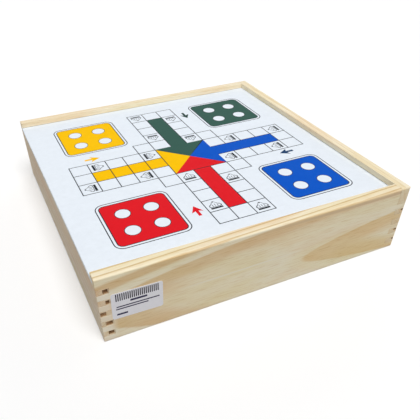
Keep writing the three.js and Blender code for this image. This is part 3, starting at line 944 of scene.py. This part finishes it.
def roundedBlock(block, size, marks, matrix, name, finishes, node):
    # marks: (axis, 1 or -1) of a face -> loops of its sunk figures
    radius, arcs = block["edge"], block["edgeArcs"]
    bm = bmesh.new()
    half = [s / 2 for s in size]
    grades = [radius * tan(radians(45 * k / arcs)) for k in range(arcs + 1)]
    for axis in range(3):
        for facing in (-1, 1):
            a, b = (axis + 1) % 3, (axis + 2) % 3
            if facing < 0:
                a, b = b, a
            levels = []
            for way in (a, b):
                flat = half[way] - radius
                levels.append([-flat - g for g in reversed(grades)] + [flat + g for g in grades])

            def corner(i, j):
                point = [0, 0, 0]
                point[a], point[b], point[axis] = levels[0][i], levels[1][j], facing * half[axis]
                return bm.verts.new(point)

            # strips and corners round the flat middle, which is then cut into its figures
            count = len(levels[0])
            grid = [[corner(i, j) for j in range(count)] for i in range(count)]
            for i in range(count - 1):
                for j in range(count - 1):
                    if (i, j) != (arcs, arcs):
                        bm.faces.new([grid[i][j], grid[i + 1][j], grid[i + 1][j + 1], grid[i][j + 1]])
            ways = [Vector([1.0 if k == w else 0.0 for k in range(3)]) for w in (a, b)]
            plane = facingPlane(ways[0].cross(ways[1]) * half[axis], *ways)
            plane = plane @ Matrix.Scale(1 / mm, 4)
            outer = rectangle(0, 0, 2 * (half[a] - radius), 2 * (half[b] - radius))
            cutRegions(bm, [(0, outer)] + [(1, loop) for loop in marks.get((axis, facing), [])], plane)
    bmesh.ops.remove_doubles(bm, verts=bm.verts, dist=easing["weld"])
    # each point goes to the radius about the block's inner core
    for vert in bm.verts:
        inner = Vector([max(-h + radius, min(h - radius, p)) for p, h in zip(vert.co, half)])
        vert.co = inner + (vert.co - inner).normalized() * radius
    sunk = [f for f in bm.faces if f.material_index == 1]
    for way in {tuple(round(c) for c in f.normal) for f in sunk}:
        figures = [f for f in sunk if f.is_valid and tuple(round(c) for c in f.normal) == way]
        grown = bmesh.ops.extrude_face_region(bm, geom=figures)["geom"]
        bmesh.ops.translate(bm, verts=[g for g in grown if isinstance(g, bmesh.types.BMVert)],
                            vec=Vector(way) * -block["sink"])
        bmesh.ops.delete(bm, geom=[f for f in figures if f.is_valid], context="FACES_ONLY")
    bm.transform(matrix @ Matrix.Scale(mm, 4))
    return showPiece(name, bm, finishes, "box", [node])


domino = {
    "thickness": 5.5, "seam": 0.5, "edge": 0.9, "edgeArcs": 2,
    "pipRadius": 1.75, "pipSides": 18, "pipStep": 5.6, "halfAway": 11.3, "groove": (0.7, 18), "sink": 0.35,
    "seed": 7,
}
dominoFinishes = [plasticFinish("ivory", "#F3EFE4", 0.3), plasticFinish("black_paint", "#17171A", 0.4)]
tiles = [(a, b) for a in range(7) for b in range(a, 7)]
random.Random(domino["seed"]).shuffle(tiles)
stacks = sorted(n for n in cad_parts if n.startswith("domino_stack_"))
tilesPerStack = len(tiles) // len(stacks)
for stackNumber, stack in enumerate(stacks):
    low, high, middle = nodeBox(stack)
    size = ((high.x - low.x) / mm, (high.y - low.y) / mm, domino["thickness"])
    for layer in range(tilesPerStack):
        values = tiles[stackNumber * tilesPerStack + layer]
        loops = [rectangle(0, 0, *domino["groove"])]
        for value, side in zip(values, (-1, 1)):
            for a, b in pipLayouts[value]:
                u, v = side * domino["halfAway"] + b * domino["pipStep"], a * domino["pipStep"]
                loops.append(disc(u, v, domino["pipRadius"], domino["pipSides"]))
        rise = low.z + (domino["thickness"] / 2 + layer * (domino["thickness"] + domino["seam"])) * mm
        spot = Matrix.Translation((middle.x, middle.y, rise))
        roundedBlock(domino, size, {(2, 1): loops}, spot, f"domino_{values[0]}_{values[1]}",
                     dominoFinishes, stack)

# faces: (axis, 1 or -1) -> pips, so that opposite faces add up to seven
die = {
    "size": 15, "edge": 2, "edgeArcs": 4,
    "pipRadius": 1.35, "pipSides": 18, "pipStep": 3.6, "sink": 0.5,
    "turns": {"die_1": 14, "die_2": -28},
    "faces": {(2, 1): 1, (2, -1): 6, (0, 1): 2, (0, -1): 5, (1, 1): 4, (1, -1): 3},
}
dieFinishes = [plasticFinish("die_white", "#F4F3EF", 0.2), dominoFinishes[1]]
for node, turn in die["turns"].items():
    middle = nodeBox(node)[2]
    marks = {face: [disc(a * die["pipStep"], b * die["pipStep"], die["pipRadius"], die["pipSides"])
                    for a, b in pipLayouts[value]] for face, value in die["faces"].items()}
    spot = Matrix.Translation(middle) @ Matrix.Rotation(radians(turn), 4, "Z")
    roundedBlock(die, (die["size"],) * 3, marks, spot, node + "_moulded", dieFinishes, node)
print("dominoes and dice done")


# Floor, light and camera

studio = {
    "floorSize": 12,           # in metres
    "floorDrop": 0.2,          # keeps the floor clear of the walls' lower edges
    "floorShade": "#727272",
    "floorSeen": "#FFFFFF",
    "skyLevel": 0.22,          # light from all round, where 1 shows a colour as it is written
}
# level: what a lamp adds on a surface that faces it. turn: degrees from the front towards the right.
# The fill comes low from behind and leaves no sheen of its own.
lamps = {
    "key_softbox": {"level": 0.845, "turn": -9, "height": 63, "spread": 45, "sheen": True},
    "fill_softbox": {"level": 0.34, "turn": 140, "height": 6, "spread": 40, "sheen": False},
}


def seenShare(tree):
    # 1 where the camera, a shiny or a clear surface looks, 0 where light is only gathered
    ray = addNode(tree, "LightPath")
    seen = addNode(tree, "Math", {0: ray.outputs["Is Camera Ray"], 1: ray.outputs["Is Glossy Ray"]},
                   operation="MAXIMUM")
    return addNode(tree, "Math", {0: seen, 1: ray.outputs["Is Transmission Ray"]}, operation="MAXIMUM")


def floorFinish():
    # matt studio paper; the camera and clear or shiny surfaces see it as white
    finish, tree, shader = startFinish("matt_studio_paper", ior=1.45, roughness=0.9)
    shader.inputs["Specular IOR Level"].default_value = 0
    shade = addNode(tree, "Mix", {
        mixShare: seenShare(tree), mixFirst: studio["floorShade"], mixSecond: studio["floorSeen"]},
        data_type="RGBA")
    tree.links.new(shade.outputs[mixResult], shader.inputs["Base Color"])
    return finish


floorMesh = bpy.data.meshes.new("studio_floor")
corners = rectangle(0, 0, studio["floorSize"], studio["floorSize"])
floorMesh.from_pydata([(x, y, 0) for x, y in corners], [], [(0, 1, 2, 3)])
floorMesh.materials.append(floorFinish())
floor = bpy.data.objects.new("studio_floor", floorMesh)
floor.location.z = -studio["floorDrop"] * mm
scene.collection.objects.link(floor)

sky = bpy.data.worlds.new("studio_sky")
sky.use_nodes = True
background = sky.node_tree.nodes["Background"]
strength = addNode(sky.node_tree, "MapRange", {
    0: seenShare(sky.node_tree), toLow: studio["skyLevel"], toHigh: 1})
background.inputs["Color"].default_value = (1, 1, 1, 1)
sky.node_tree.links.new(strength.outputs[0], background.inputs["Strength"])
scene.world = sky

for name, lamp in lamps.items():
    light = bpy.data.lights.new(name, "SUN")
    light.angle = radians(lamp["spread"])
    light.energy = pi * lamp["level"]
    turn, rise = radians(lamp["turn"]), radians(lamp["height"])
    towards = Vector((sin(turn) * cos(rise), -cos(turn) * cos(rise), sin(rise)))
    softbox = bpy.data.objects.new(name, light)
    softbox.rotation_mode = "QUATERNION"
    softbox.rotation_quaternion = towards.to_track_quat("Z", "Y")
    softbox.visible_glossy = lamp["sheen"]
    scene.collection.objects.link(softbox)

# the shift is the photograph's framing; clip is in metres
view = {
    "place": (-190.4, -411.6, 295.6),
    "ahead": (0.30437, 0.68391, -0.66305),
    "right": (0.90961, -0.41532, -0.01084),
    "sensor": 36, "lens": 40.434, "shift": (0.0539, 0.155), "clip": (0.01, 50),
}
lens = bpy.data.cameras.new("camera")
lens.sensor_width = view["sensor"]
lens.lens = view["lens"]
lens.shift_x, lens.shift_y = view["shift"]
lens.clip_start, lens.clip_end = view["clip"]
camera = bpy.data.objects.new("camera", lens)
ahead = Vector(view["ahead"]).normalized()
right = (Vector(view["right"]) - ahead * ahead.dot(Vector(view["right"]))).normalized()
turned = Matrix((right, right.cross(ahead), -ahead)).transposed().to_4x4()
camera.matrix_world = Matrix.Translation(Vector(view["place"]) * mm) @ turned
scene.collection.objects.link(camera)
scene.camera = camera
scene.view_settings.view_transform = "Standard"
print("studio done")
